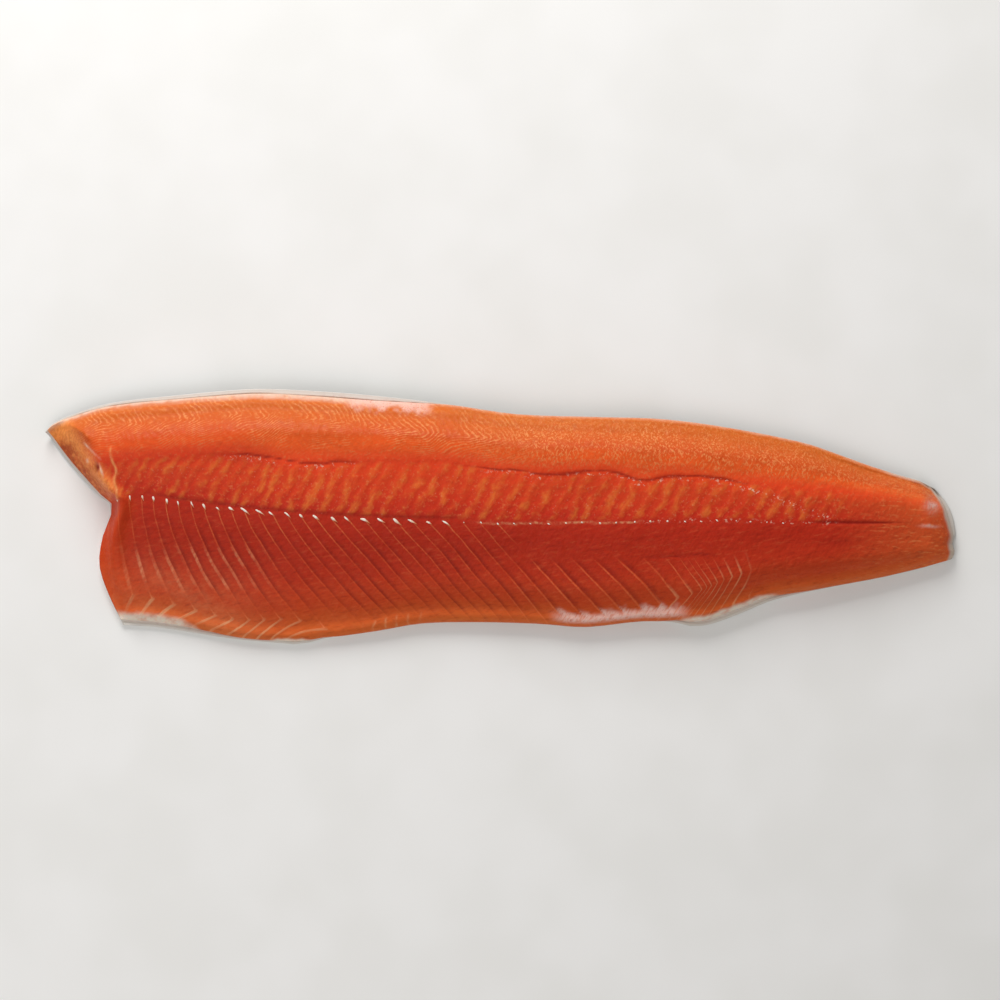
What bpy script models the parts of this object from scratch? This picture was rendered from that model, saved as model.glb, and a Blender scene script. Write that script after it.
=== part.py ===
"""Arctic char fillet, skin on, lying skin side down with its cut face up.

+X runs from the head cut to the tail cut, +Y to the back (dorsal) edge, +Z up.
The origin is on the resting plane, under the middle of the fillet's box.
Lengths below are in millimetres, and MM turns them into Blender's metres.
"""

import functools
import math

import bmesh
import bpy

MM = 0.001

# Layers
SKIN_THICKNESS = 0.8  # under the flesh
LAYER_GAP = 0.3  # between the skin and the flesh
RIM_WALL = 0.8  # height of the flesh's side where upper and lower faces meet
BELLY_CURL = 1.3  # radius of the skin's turn at the thin belly edge
BACK_CURL = [
    (-172, 4.5), (-150, 6.5), (-110, 8.0), (10, 8.0), (100, 6.5), (150, 4.5), (172, 3.0),
]  # (x, radius) of its turn up the thick back edge

# Plan of the whole fillet: (x, y) along the long edges and the bones' lines, (y, x) along the two cuts
BACK_EDGE = [
    (-172.6, 32.3), (-169.6, 35.4), (-162, 38.8), (-148, 43.0), (-122, 46.0), (-95, 48.3), (-82, 48.2),
    (-54, 46.4), (-23, 43.0), (-8, 40.4), (8, 38.3), (38, 37.3), (60, 36.6), (83, 33.8), (114, 27.8),
    (129, 22.8), (144, 17.5), (161, 12.6), (172, 9.0),
]
BELLY_EDGE = [
    (-152, -40.0), (-143.5, -40.9), (-130, -41.8), (-104, -45.9), (-86, -47.6), (-76, -48.2), (-67, -46.0),
    (-46, -42.6), (-30, -39.8), (-8, -39.2), (14, -39.8), (32, -41.1), (53, -39.2), (65, -39.8),
    (72, -41.4), (79, -40.8), (91, -36.5), (103, -31.6), (121, -27.4), (152, -21.3), (170, -16.4),
]
HEAD_CUT = [
    (-41.5, -143.0), (-40.3, -143.8), (-28.5, -149.4), (-18, -152.5), (-8, -151.3), (-1, -148.8),
    (4.2, -147.7), (8, -152.7), (20, -163.6), (32.3, -172.6), (36, -175.0),
]
TAIL_CUT = [
    (-18, 163.0), (-16.3, 170.0), (-13.3, 172.3), (-10.6, 171.6), (-6, 172.6),
    (3.4, 170.3), (9.9, 165.4), (12.5, 161.2), (14, 158.0),
]
SPINE_LINE = [
    (-175, 9.0), (-148, 5.2), (-139.5, 7.8), (-121, 5.9), (-101, 3.4), (-74, 0.8),
    (-37, -1.0), (0, -1.9), (38, -1.7), (81, -1.0), (114, -2.1), (172, -2.4),
]
BONE_LINE = [
    (-175, 17.0), (-150, 20.5), (-130, 23.2), (-97, 23.4), (-80, 21.0), (-38, 21.0), (-19, 20.5),
    (0, 17.9), (17, 16.4), (45, 16.3), (53, 14.2), (61, 15.2), (91, 13.0), (115, 11.0), (140, 8.0),
    (172, 3.0),
]

# How far the flesh's upper face stops short of the skin's edge: (x, distance), or (y, distance) at the cuts
BACK_BARE = [
    (-172, 0.8), (-150, 1.4), (-110, 1.9), (-75, 2.2), (-50, 2.2), (-30, 1.2), (-12, 0.0), (172, 0.0),
]
BELLY_BARE = [
    (-150, 2.4), (-115, 2.0), (-95, 0.9), (-76, 1.4), (-58, 0.0), (58, 0.0), (72, 2.0), (96, 2.2),
    (118, 0.6), (170, 0.4),
]
HEAD_BARE = [(-41, 0.3), (2, 0.2), (8, 1.5), (33, 1.2)]
TAIL_BARE = [(-18, 0.4), (-10, 0.8), (-2, 2.0), (6, 1.8), (14, 1.0)]

# Height of the cut face along five lines of the body: (x, z)
BACK_HEIGHT = [
    (-175, 11), (-160, 16), (-140, 19), (-110, 21), (-60, 22), (0, 21.5), (60, 20), (110, 16.5),
    (150, 11.8), (172, 8),
]
BONE_HEIGHT = [
    (-175, 11), (-160, 15), (-140, 17), (-110, 18.4), (-60, 18.8), (0, 18.4), (60, 17.6),
    (110, 15.6), (150, 11.5), (172, 7.8),
]
SPINE_HEIGHT = [
    (-175, 10), (-150, 13.4), (-110, 15.6), (-60, 16.4), (0, 16.4), (60, 16.2), (110, 14.9),
    (150, 11.2), (172, 7.5),
]
FLANK_HEIGHT = [
    (-175, 6), (-150, 7.2), (-110, 8.6), (-60, 9.6), (0, 11.2), (60, 13), (110, 12.8), (150, 9.8), (172, 6.8),
]
BELLY_HEIGHT = [
    (-175, 4.6), (-150, 4.6), (-110, 4.8), (-60, 5.4), (0, 6.6), (60, 8.4), (110, 8.8), (150, 7.2),
    (172, 5.2),
]

# Rounding of the flesh's rim, measured inwards
BACK_ROUND = 11.0
BELLY_ROUND = 5.0
TAIL_ROUND = 7.0

# The head cut's face, rounded on the belly lobe and a slanted bevel on the collar: (y, length along X)
HEAD_FACE = [
    (-41, 4.5), (-10, 5.0), (3, 3.4), (11, 5.6), (18, 10.8), (23, 13.4), (28, 12.4), (34, 5.0),
]

# Low relief of the cut face: (x, height or depth)
GROOVE_DEPTH = [
    (-115, 0.0), (-95, 0.5), (-65, 1.1), (-40, 0.5), (0, 0.7), (30, 1.0), (55, 1.2), (80, 0.7), (100, 0.0),
]
RIDGE_STEP = [(-150, 0.3), (-130, 0.8), (-20, 0.9), (10, 0.5), (60, 0.2), (172, 0.1)]
TAIL_FURROW = [(95, 0.0), (115, 0.5), (130, 1.0), (150, 0.7), (160, 0.0)]
FLAKE_RELIEF = 0.3  # half the height from a muscle flake's crown to its seam
CROWN_PLACE = 0.28  # the crown lies close behind the seam, as share of a flake's length

# Muscle flakes: a seam's number and the x where it crosses the spine line, then how it runs on to the belly
SEAM_PLACES = [(0, -144.1), (9, -101.1), (12, -85.5), (23, -20.5), (26, -1.5), (43, 105.7), (50, 146.0)]
SEAM_SWEEP = [
    (-150, 3.0), (-139, 8.4), (-121, 18.0), (-101, 26.0), (-67, 32.0), (-30, 31.0), (0, 34.0),
    (30, 36.0), (55, 29.0), (75, 20.0), (95, 11.0), (120, 4.0), (150, 0.0),
]  # (x at the spine line, distance towards the tail where the seam meets the belly edge)
SEAM_BEND = [(-145, 2.0), (-120, 1.6), (-80, 1.15), (40, 1.1)]  # 1 is a straight seam

# Rows across the body: 0 is the belly edge and 1 the back edge
FLANK_ROW = 0.25
SPINE_ROW = 0.5
BONE_ROW = 0.72
BACK_ROW = 0.87

# Stations along the body
HEAD_BLEND = 75.0  # over this length the lines across the body turn from the head cut's slant
TAIL_BLEND = 55.0  # and over this one to the tail cut's
HEAD_STATIONS = (0.0, 0.06, 0.2, 0.45, 0.72, 0.92, 1.0)

FLESH_COLOUR = (0.72, 0.13, 0.035)
SKIN_COLOUR = (0.52, 0.52, 0.49)


def curve_through(points):
    """A smooth function through (x, value) points, straight beyond the two ends."""

    def tangent(i):
        before, after = points[max(i - 1, 0)], points[min(i + 1, len(points) - 1)]
        return (after[1] - before[1]) / (after[0] - before[0])

    def value(x):
        if x <= points[0][0]:
            return points[0][1]
        if x >= points[-1][0]:
            return points[-1][1]
        i = max(k for k in range(len(points) - 1) if points[k][0] <= x)
        (x0, y0), (x1, y1) = points[i], points[i + 1]
        span = x1 - x0
        t = (x - x0) / span
        return (
            y0 * (2 * t**3 - 3 * t**2 + 1)
            + y1 * (3 * t**2 - 2 * t**3)
            + tangent(i) * span * (t**3 - 2 * t**2 + t)
            + tangent(i + 1) * span * (t**3 - t**2)
        )

    return value


back_edge, belly_edge = curve_through(BACK_EDGE), curve_through(BELLY_EDGE)
head_cut, tail_cut = curve_through(HEAD_CUT), curve_through(TAIL_CUT)
spine_line, bone_line = curve_through(SPINE_LINE), curve_through(BONE_LINE)
back_bare, belly_bare = curve_through(BACK_BARE), curve_through(BELLY_BARE)
head_bare, tail_bare = curve_through(HEAD_BARE), curve_through(TAIL_BARE)
line_heights = [
    (0.0, curve_through(BELLY_HEIGHT)),
    (FLANK_ROW, curve_through(FLANK_HEIGHT)),
    (SPINE_ROW, curve_through(SPINE_HEIGHT)),
    (BONE_ROW, curve_through(BONE_HEIGHT)),
    (BACK_ROW, curve_through(BACK_HEIGHT)),
]
groove_depth, ridge_step = curve_through(GROOVE_DEPTH), curve_through(RIDGE_STEP)
tail_furrow, seam_sweep = curve_through(TAIL_FURROW), curve_through(SEAM_SWEEP)
head_face, back_curl = curve_through(HEAD_FACE), curve_through(BACK_CURL)
seam_place, seam_bend = curve_through(SEAM_PLACES), curve_through(SEAM_BEND)


def smoothstep(low, high, x):
    t = min(max((x - low) / (high - low), 0.0), 1.0)
    return t * t * (3 - 2 * t)


def mix(a, b, t):
    return a + (b - a) * t


def slant(line, x):
    """Turns a distance along Y into one square to an edge that slants."""
    return 1 / math.hypot(1, (line(x + 1) - line(x - 1)) / 2)


class Outline:
    """The fillet's plan, drawn in by a margin on each side."""

    def __init__(self, back, belly, head, tail):
        self.back = lambda x: back_edge(x) - back(x)
        self.belly = lambda x: belly_edge(x) + belly(x)
        self.head = lambda y: head_cut(y) + head(y)
        self.tail = lambda y: tail_cut(y) - tail(y)

    def across(self, x, row):
        """The y of a row at x."""
        if row <= SPINE_ROW:
            return mix(self.belly(x), spine_line(x), row / SPINE_ROW)
        if row <= BONE_ROW:
            return mix(spine_line(x), bone_line(x), (row - SPINE_ROW) / (BONE_ROW - SPINE_ROW))
        return mix(bone_line(x), self.back(x), (row - BONE_ROW) / (1 - BONE_ROW))

    @functools.cache
    def end(self, cut, row):
        """The x where a row meets one of the cuts, found by halving."""
        low, high = (-180, -120) if cut is self.head else (140, 180)
        for _ in range(40):
            middle = (low + high) / 2
            if middle < cut(self.across(middle, row)):
                low = middle
            else:
                high = middle
        return (low + high) / 2

    def head_length(self, row):
        """Length of the head cut's face along a row."""
        return head_face(self.across(self.end(self.head, row), row))

    def place(self, station, row):
        """The point of the plan on a row, level with a point of the spine line.

        Stations up to 1 cross the head cut's face, from 1 to 2 they run along the body.
        """
        start, stop = self.end(self.head, row), self.end(self.tail, row)
        if station <= 1:
            x = start + station * self.head_length(row)
            return x, self.across(x, row)
        start += self.head_length(row)
        first = self.end(self.head, SPINE_ROW) + self.head_length(SPINE_ROW)
        last = self.end(self.tail, SPINE_ROW)
        spine_x = mix(first, last, station - 1)
        to_head = 1 - smoothstep(first, first + HEAD_BLEND, spine_x)
        to_tail = smoothstep(last - TAIL_BLEND, last, spine_x)
        x = spine_x + to_head * (start - first) + to_tail * (stop - last)
        below_spine = max(0.0, 1 - row / SPINE_ROW)
        inland = smoothstep(first, first + 20, spine_x) * (1 - smoothstep(last - 40, last, spine_x))
        x += seam_sweep(spine_x) * below_spine ** seam_bend(spine_x) * inland
        return x, self.across(x, row)


def nothing(_):
    return 0.0


def skin_rim(x):
    """Width of the skin's cut edge along the back, with the white fat that clings to it."""
    return max(SKIN_THICKNESS, back_bare(x) - LAYER_GAP)


def flesh_rim(x):
    return skin_rim(x) + LAYER_GAP


def thin_rim(_):
    return SKIN_THICKNESS


def beside_skin(_):
    return SKIN_THICKNESS + LAYER_GAP


whole = Outline(nothing, nothing, nothing, nothing)
inside_skin = Outline(skin_rim, thin_rim, nothing, nothing)
flesh_underside = Outline(
    flesh_rim,
    lambda x: max(beside_skin(x), belly_bare(x)),
    lambda y: max(LAYER_GAP, head_bare(y)),
    lambda y: max(LAYER_GAP, tail_bare(y)),
)
flesh_top = Outline(back_bare, belly_bare, head_bare, tail_bare)


def quarter_round(distance, radius):
    """0 at the rim, rising steeply and levelling off to 1 at the radius."""
    t = min(max(distance / radius, 0.0), 1.0)
    return math.sqrt(1 - (1 - t) ** 2)


def turned_up(outline, x, y, clearance):
    """Height of a sheet that is this far above the resting plane and curls up the two long edges."""
    back = (outline.back(x) - y) * slant(outline.back, x)
    belly = (y - outline.belly(x)) * slant(outline.belly, x)
    heights = [clearance]
    for distance, radius in ((back, back_curl(x)), (belly, BELLY_CURL)):
        bend = max(radius - clearance, 0.3)
        heights.append(radius - (radius - clearance) * quarter_round(distance, bend))
    return max(heights)


def body_height(x, row):
    """Height of the cut face without its rounded rim."""
    knots = [(place, height(x)) for place, height in line_heights]
    knots.append((1.0, knots[-1][1] - 2.5))
    return curve_through(knots)(row)


def relief(x, y, row):
    """The grooves that the bones left."""
    from_bones = y - bone_line(x)
    north = smoothstep(0, 1.6, from_bones) if from_bones > 0 else smoothstep(0, 5.0, -from_bones)
    groove = -groove_depth(x) * (1 - north)
    from_spine = y - spine_line(x)
    step = ridge_step(x) * smoothstep(0, 1.6, from_spine) * (1 - smoothstep(8, 20, from_spine))
    furrow = -tail_furrow(x) * (1 - smoothstep(0, 1.4, abs(from_spine - 0.3)))
    return groove + step + furrow


def flake(x, row, crown):
    """Muscle flakes stand a little proud between their seams, on the flank below the spine."""
    along = smoothstep(-146, -125, x) * (1 - smoothstep(95, 130, x))
    across = smoothstep(0.02, 0.1, row) * (1 - smoothstep(0.42, 0.49, row))
    return FLAKE_RELIEF * crown * along * across


def cut_face(x, y, row, station, crown):
    """Height of the flesh's upper face."""
    rim = turned_up(flesh_underside, x, y, SKIN_THICKNESS + LAYER_GAP) + RIM_WALL
    collar_side = smoothstep(0.44, 0.56, row)
    head = mix(quarter_round(station, 1.0), min(station, 1.0), collar_side)
    tail = quarter_round(flesh_top.tail(y) - x, TAIL_ROUND)
    back = quarter_round((flesh_top.back(x) - y) * slant(flesh_top.back, x), BACK_ROUND)
    belly = quarter_round((y - flesh_top.belly(x)) * slant(flesh_top.belly, x), BELLY_ROUND)
    height = body_height(x, row) + relief(x, y, row) + flake(x, row, crown)
    return mix(rim, height, head * tail * back * belly)


def graded(width, edge_steps, inner_step):
    """Distances from 0 to width: close together at the rim, then even."""
    inner = max(1, round((width - edge_steps[-1]) / inner_step))
    return list(edge_steps) + [mix(edge_steps[-1], width, k / inner) for k in range(1, inner + 1)]


def rows_across():
    flank = graded(41.0, (0.0, 0.5, 1.5, 3.2, 5.5), 4.0)
    loin = graded(26.0, (0.0, 0.3, 1.0, 2.2, 4.0, 6.5, 9.5), 3.4)
    rows = [SPINE_ROW * d / 41.0 for d in flank]
    rows += [mix(SPINE_ROW, BONE_ROW, t) for t in (0.07, 0.2, 0.4, 0.6, 0.8, 0.92, 1.0)]
    rows += [1 - (1 - BONE_ROW) * d / 26.0 for d in reversed(loin[:-1])]
    return sorted(set(rows + [mix(BONE_ROW, 1.0, 0.06)]))


def stations_along(outline, stride):
    """Stations from the head cut to the tail cut, each with +1 on a flake's crown or -1 on its seam."""
    first = outline.end(outline.head, SPINE_ROW) + outline.head_length(SPINE_ROW)
    last = outline.end(outline.tail, SPINE_ROW)
    marks = []
    for flake_number in range(51):
        marks.append((seam_place(flake_number), -1))
        marks.append((seam_place(flake_number + CROWN_PLACE), 1))
    marks = [mark for mark in marks[::stride] if first + 2 < mark[0] < last - 11]
    marks += [(last - d, 0) for d in (9.0, 6.2, 4.0, 2.2, 1.0, 0.3, 0.0)]
    body = [(1 + (x - first) / (last - first), crown) for x, crown in marks]
    return [(share, 0) for share in HEAD_STATIONS] + body


def in_fixed_order(bm):
    """The same mesh with its faces and their corners in one order, so that every build divides them alike."""
    bm.verts.index_update()
    corners = []
    for face in bm.faces:
        loop = [vert.index for vert in face.verts]
        first = loop.index(min(loop))
        corners.append(loop[first:] + loop[:first])
    points = [vert.co.copy() for vert in bm.verts]
    bm.free()
    ordered = bmesh.new()
    verts = [ordered.verts.new(point) for point in points]
    for loop in sorted(corners):
        ordered.faces.new([verts[k] for k in loop])
    ordered.normal_update()
    return ordered


def body_between(name, stations, rows, upper, lower, material, collection):
    """A closed body: a flat grid given thickness, whose two faces are laid by formula."""
    bm = bmesh.new()
    spans = (len(stations) - 1, len(rows) - 1)
    bmesh.ops.create_grid(bm, x_segments=spans[0], y_segments=spans[1], size=0.5)
    under = {}
    for vert in bm.verts:
        under[vert] = (round((vert.co.x + 0.5) * spans[0]), round((vert.co.y + 0.5) * spans[1]))
    made = bmesh.ops.extrude_face_region(bm, geom=bm.faces[:])
    over = {}
    for vert in (v for v in made["geom"] if isinstance(v, bmesh.types.BMVert)):
        over[vert] = (round((vert.co.x + 0.5) * spans[0]), round((vert.co.y + 0.5) * spans[1]))
    for verts, face in ((over, upper), (under, lower)):
        for vert, (i, j) in verts.items():
            station, crown = stations[i]
            vert.co = [c * MM for c in face(station, rows[j], crown)]
    bmesh.ops.recalc_face_normals(bm, faces=bm.faces[:])
    bm = in_fixed_order(bm)
    bmesh.ops.dissolve_limit(bm, angle_limit=math.radians(0.05), verts=bm.verts[:], edges=bm.edges[:])
    bmesh.ops.triangulate(bm, faces=[f for f in bm.faces if len(f.verts) > 4])
    mesh = bpy.data.meshes.new(name)
    bm.to_mesh(mesh)
    bm.free()
    mesh.shade_smooth()
    mesh.set_sharp_from_angle(angle=math.radians(40))
    mesh.materials.append(material)
    body = bpy.data.objects.new(name, mesh)
    collection.objects.link(body)
    return body


def plain_material(name, colour, roughness):
    material = bpy.data.materials.new(name)
    material.use_nodes = True
    shader = material.node_tree.nodes["Principled BSDF"]
    shader.inputs["Base Color"].default_value = (*colour, 1)
    shader.inputs["Roughness"].default_value = roughness
    shader.inputs["Metallic"].default_value = 0.0
    return material


def make_flesh(collection):
    """The muscle, from the skin up to the cut face."""

    def upper(station, row, crown):
        x, y = flesh_top.place(station, row)
        return x, y, cut_face(x, y, row, station, crown)

    def lower(station, row, _):
        x, y = flesh_underside.place(station, row)
        return x, y, turned_up(flesh_underside, x, y, SKIN_THICKNESS + LAYER_GAP)

    stations = stations_along(flesh_top, 1)
    material = plain_material("raw_flesh", FLESH_COLOUR, 0.3)
    return body_between("flesh", stations, rows_across(), upper, lower, material, collection)


def make_skin(collection):
    """The skin, flat on the table and turned up along the back edge."""

    def upper(station, row, _):
        x, y = inside_skin.place(station, row)
        return x, y, turned_up(inside_skin, x, y, SKIN_THICKNESS)

    def lower(station, row, _):
        x, y = whole.place(station, row)
        return x, y, turned_up(whole, x, y, 0.0)

    stations = stations_along(whole, 2)
    material = plain_material("silver_skin", SKIN_COLOUR, 0.35)
    return body_between("skin", stations, rows_across(), upper, lower, material, collection)


def main():
    for leftover in list(bpy.data.objects):
        bpy.data.objects.remove(leftover)
    collection = bpy.data.collections.new("char_fillet")
    bpy.context.scene.collection.children.link(collection)
    make_flesh(collection)
    make_skin(collection)


main()
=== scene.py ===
import math
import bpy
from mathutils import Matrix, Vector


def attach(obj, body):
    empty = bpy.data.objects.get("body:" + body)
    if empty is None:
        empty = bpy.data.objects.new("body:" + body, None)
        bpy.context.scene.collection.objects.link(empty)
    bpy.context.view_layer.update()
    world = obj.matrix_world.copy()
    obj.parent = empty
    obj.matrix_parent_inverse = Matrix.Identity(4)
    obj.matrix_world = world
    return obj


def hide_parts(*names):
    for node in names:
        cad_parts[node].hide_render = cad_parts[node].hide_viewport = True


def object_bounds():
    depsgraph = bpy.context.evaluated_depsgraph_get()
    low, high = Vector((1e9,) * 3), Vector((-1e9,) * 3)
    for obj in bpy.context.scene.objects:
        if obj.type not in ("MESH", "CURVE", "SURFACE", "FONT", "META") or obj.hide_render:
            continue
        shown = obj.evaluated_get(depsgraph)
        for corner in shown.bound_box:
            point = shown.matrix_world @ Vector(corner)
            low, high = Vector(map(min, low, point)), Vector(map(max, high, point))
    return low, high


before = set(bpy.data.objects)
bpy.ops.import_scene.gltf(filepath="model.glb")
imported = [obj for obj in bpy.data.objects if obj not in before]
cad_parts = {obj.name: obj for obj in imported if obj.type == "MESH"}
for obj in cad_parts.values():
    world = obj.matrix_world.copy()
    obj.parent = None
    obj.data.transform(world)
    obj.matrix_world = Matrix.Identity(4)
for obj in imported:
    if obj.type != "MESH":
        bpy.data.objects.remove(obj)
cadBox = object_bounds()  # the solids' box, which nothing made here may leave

from types import SimpleNamespace

import bmesh
import bpy
import numpy as np
from mathutils import Vector
from mathutils.bvhtree import BVHTree

mm = 0.001


def smooth(low, high, x):
    t = np.clip((x - low) / (high - low), 0, 1)
    return t * t * (3 - 2 * t)


def window(x, start, stop, ramp):
    # 1 between start and stop, falling to 0 over the ramp outside them
    return smooth(start - ramp, start, x) * (1 - smooth(stop, stop + ramp, x))


def curveThrough(points):
    # a smooth line through (place, value) points, level past its two ends
    px, py = np.array(points, float).T
    slope = np.gradient(py, px)

    def value(x):
        x = np.clip(x, px[0], px[-1])
        i = np.clip(np.searchsorted(px, x, side="right") - 1, 0, len(px) - 2)
        span = px[i + 1] - px[i]
        t = (x - px[i]) / span
        rise = py[i] * (1 + 2 * t) * (1 - t) ** 2 + py[i + 1] * t * t * (3 - 2 * t)
        return rise + slope[i] * span * t * (1 - t) ** 2 - slope[i + 1] * span * t * t * (1 - t)

    return value


def lumps(x, y, size, seed, stretch=1.0, turn=0.0):
    # soft noise from -1 to 1: random heights a size apart, joined smoothly; stretched along a turned line
    a = math.radians(turn)
    u = (x * math.cos(a) + y * math.sin(a)) / (size * stretch) + 500
    v = (y * math.cos(a) - x * math.sin(a)) / size + 500
    i, j = np.floor(u).astype(int), np.floor(v).astype(int)
    heights = np.random.default_rng(seed).uniform(-1, 1, 4096)

    def corner(di, dj):
        return heights[((i + di) * 73 + (j + dj) * 1531 + (i + di) * (j + dj) * 7) % 4096]

    s, t = smooth(0, 1, u - i), smooth(0, 1, v - j)
    near = corner(0, 0) * (1 - s) + corner(1, 0) * s
    far = corner(0, 1) * (1 - s) + corner(1, 1) * s
    return near * (1 - t) + far * t


bodyEnds = (-172, 172)  # millimetres: x at the two ends of the spine line

anatomy = {
    # lines of the body, as (x, y) in millimetres; x runs from the head cut to the tail cut
    "spine": [(-175, 9.0), (-148, 5.2), (-139.5, 7.8), (-121, 5.9), (-101, 3.4), (-74, 0.8), (-37, -1.0),
              (0, -1.9), (38, -1.7), (81, -1.0), (114, -2.1), (172, -2.4)],
    "bones": [(-175, 17.0), (-150, 20.5), (-130, 23.2), (-97, 23.4), (-80, 21.0), (-38, 21.0),
              (-19, 20.5), (0, 17.9), (17, 16.4), (45, 16.3), (53, 14.2), (61, 15.2), (91, 13.0),
              (115, 11.0), (140, 8.0), (172, 3.0)],
    "fold": [(-150, -28.0), (-133, -30.4), (-115, -35.5), (-103, -38.4), (-74, -39.8), (-57, -47),
             (-40, -60), (35, -60), (52, -38), (72, -28.5), (86, -22.4), (98, -18.6), (113, -14.8),
             (140, -12)],
    "crest": [(-175, 33), (-150, 35), (-114, 37.5), (-76, 38.2), (-50, 35), (-19, 31), (30, 27), (172, 5)],
    # the seams, by the x where each leaves the spine line: its number, how many millimetres it runs
    # towards the tail on its way down, and how it bends
    "seamCount": [(-158, -3), (-144.1, 0), (-101.1, 9), (-85.5, 12), (-20.5, 23), (-1.5, 26),
                  (105.7, 43), (146, 50), (180, 56)],
    "seamSweep": [(-150, 3), (-139, 9), (-130, 14.5), (-121, 17.5), (-101, 25), (-85, 32), (-66, 36),
                  (-8, 35), (4, 38), (18, 42), (30, 44), (40, 41), (60, 27), (75, 18), (90, 11),
                  (105, 7), (150, 2)],
    "seamBend": [(-145, 2.0), (-120, 1.6), (-80, 1.15), (-40, 1.0), (0, 0.95), (20, 0.8), (37, 0.5),
                 (60, 0.6), (90, 0.8), (120, 1.0)],
}
spineY, bonesY, foldY, crestY = (curveThrough(anatomy[k]) for k in ("spine", "bones", "fold", "crest"))
seamCount = curveThrough(anatomy["seamCount"])
seamSweep, seamBend = curveThrough(anatomy["seamSweep"]), curveThrough(anatomy["seamBend"])
sweepDepth = 40.0  # millimetres below the spine line where a seam has run its whole sweep
foldBack = 2.0  # how much flatter a seam runs once it has turned back


def seamOrigin(x, y):
    # where the belly seam through a point leaves the spine line: seams turn back at the fold
    fold = foldY(x)
    folded = np.where(y < fold, fold + foldBack * (fold - y), y)
    depth = np.clip(spineY(x) - folded, 0, None) / sweepDepth
    origin = x.copy()
    for _ in range(14):  # each step closes most of what is left
        origin += 0.7 * (x - seamSweep(origin) * depth ** seamBend(origin) - origin)
    return origin


def planSides(node):
    # the node's outline seen from above, as its belly, tail, back and head sides
    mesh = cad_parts[node].data
    points = np.array([v.co[:2] for v in mesh.vertices]) / mm
    ends = points[np.array([e.vertices[:] for e in mesh.edges])]

    def reach(level, axis):
        # how far the solid reaches across, where it is cut at this place along an axis
        one, two = ends[:, 0, axis], ends[:, 1, axis]
        met = (np.minimum(one, two) <= level) & (np.maximum(one, two) >= level)
        cut = met & (np.abs(two - one) > 1e-6)
        t = (level - one[cut]) / (two[cut] - one[cut])
        across = ends[cut, 0, 1 - axis] * (1 - t) + ends[cut, 1, 1 - axis] * t
        return across.min(), across.max()

    # the corners are the points farthest out towards each
    x, y = points.T
    farthest = (np.argmin(x + y), np.argmax(x - y), np.argmax(x + 1.2 * y), np.argmin(x))
    headBelly, tailBelly, tailBack, headBack = (points[k] for k in farthest)

    def side(first, second, axis, which):
        levels = np.linspace(first[axis], second[axis], 500)[1:-1]
        across = np.array([reach(level, axis)[which] for level in levels])
        middle = np.stack([levels, across] if axis == 0 else [across, levels], -1)
        return np.concatenate([[first], middle, [second]])

    return {"belly": side(headBelly, tailBelly, 0, 0), "tail": side(tailBelly, tailBack, 1, 1),
            "back": side(headBack, tailBack, 0, 1), "head": side(headBelly, headBack, 1, 0)}


def alongSide(points, shares):
    # points at shares of a side's length
    steps = np.hypot(*np.diff(points, axis=0).T)
    place = np.concatenate([[0], np.cumsum(steps)]) / steps.sum()
    keep = np.concatenate([[True], np.diff(place) > 1e-4])
    place, points = place[keep], points[keep]
    return np.stack([curveThrough(np.stack([place, c], 1))(shares) for c in points.T], -1)


def planGrid(sides, u, v):
    # a grid stretched between the four sides: u runs from head to tail, v from belly to back
    belly, back = alongSide(sides["belly"], u), alongSide(sides["back"], u)
    head, tail = alongSide(sides["head"], v), alongSide(sides["tail"], v)
    u, v = u[:, None, None], v[None, :, None]
    straightHead = (1 - v) * belly[:1, None] + v * back[:1, None]
    straightTail = (1 - v) * belly[-1:, None] + v * back[-1:, None]
    grid = (1 - v) * belly[:, None] + v * back[:, None]
    # the bends of the two cuts die out quickly along the body
    return grid + (1 - u) ** 6 * (head[None] - straightHead) + u ** 8 * (tail[None] - straightTail)


def graded(count, firstStep, ramp):
    # shares from 0 to 1: close together at both ends
    t = np.linspace(0, 1, count)
    weight = firstStep + (1 - firstStep) * smooth(0, ramp, t) * (1 - smooth(1 - ramp, 1, t))
    middle = (weight[1:] + weight[:-1]) / 2
    shares = np.concatenate([[0], np.cumsum(middle)])
    return shares / shares[-1]


def castHeights(tree, grid, direction):
    # heights of a solid's surface over a plan grid, in millimetres
    start, way = (0.1, Vector((0, 0, -1))) if direction < 0 else (-0.1, Vector((0, 0, 1)))
    heights = np.empty(grid.shape[:2])
    flat = heights.ravel()
    for k, (x, y) in enumerate(grid.reshape(-1, 2) * mm):
        hit = tree.ray_cast(Vector((x, y, start)), way)[0]
        flat[k] = np.nan if hit is None else hit.z / mm
    for i, j in np.argwhere(np.isnan(heights)):
        near = heights[max(i - 2, 0):i + 3, max(j - 2, 0):j + 3]
        heights[i, j] = np.nanmean(near) if np.isfinite(near).any() else 0.0
    return heights


def blurAlong(values, places, width):
    # smooths each line of a grid along its first axis, over this many millimetres
    out = np.zeros_like(values)
    total = np.zeros_like(values)
    most = 34  # lines of the grid to either side that still count
    for shift in range(-most, most + 1):
        index = np.clip(np.arange(len(values)) + shift, 0, len(values) - 1)
        weight = np.exp(-0.5 * ((places[index] - places) / width) ** 2)
        out += weight * values[index]
        total += weight
    return out / total


def evened(values, places, width):
    # smoothed, with the broad shape that smoothing takes away given back, so that crests keep their height
    soft = blurAlong(values, places, width)
    for _ in range(3):
        soft = soft + blurAlong(values - soft, places, width)
    return soft


def gridNormals(points):
    along, across = np.gradient(points, axis=0), np.gradient(points, axis=1)
    normal = np.cross(along, across)
    return normal / np.maximum(np.linalg.norm(normal, axis=-1, keepdims=True), 1e-9)


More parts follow.
